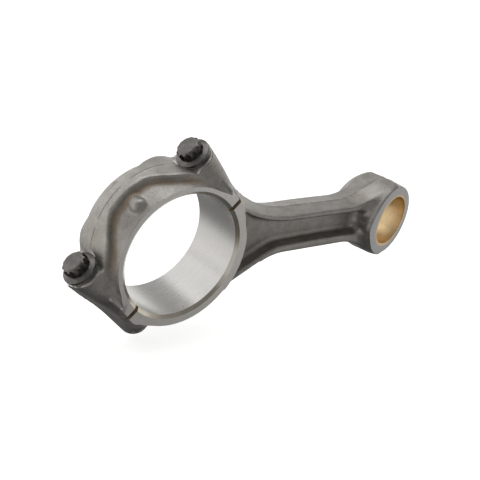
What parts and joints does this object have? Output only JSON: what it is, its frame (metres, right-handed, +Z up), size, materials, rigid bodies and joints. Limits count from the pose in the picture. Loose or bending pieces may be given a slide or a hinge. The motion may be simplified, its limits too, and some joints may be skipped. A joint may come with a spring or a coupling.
{
  "type": "connecting rod",
  "caption": "Forged engine connecting rod with an I-section shank, an angled split big end held by cap bolts, and a tapered small end with a bronze bush.",
  "frame": {"origin": "centre of the big-end bore, on the rod's mid-plane", "axes": "+X along the rod to the small-end bore, +Z up across the rod towards the upper cap bolt, both bores along Y, and the face seen first is the -Y face"},
  "size_m": [0.3851, 0.0576, 0.1712],
  "materials": {
    "forged_steel": "shot-blasted as forged, ground in the bores and on the thrust faces",
    "black_bolt_steel": "black oxide",
    "bronze": "fine turned"
  },
  "bodies": {
    "rod": {"rod_forging": "forged_steel", "small_end_bush": "bronze"},
    "cap": {"bearing_cap": "forged_steel"},
    "upper_cap_bolt": {"upper_bolt": "black_bolt_steel"},
    "lower_cap_bolt": {"lower_bolt": "black_bolt_steel"}
  },
  "joints": [
    {"name": "cap_lift", "type": "slide", "parent": "rod", "child": "cap", "axis": [-0.7071, 0, 0.7071], "range_m": [0, 0.06]},
    {"name": "upper_bolt_draw", "type": "slide", "parent": "cap", "child": "upper_cap_bolt", "axis": [-0.7071, 0, 0.7071], "range_m": [0, 0.09]},
    {"name": "lower_bolt_draw", "type": "slide", "parent": "cap", "child": "lower_cap_bolt", "axis": [-0.7071, 0, 0.7071], "range_m": [0, 0.09]}
  ]
}
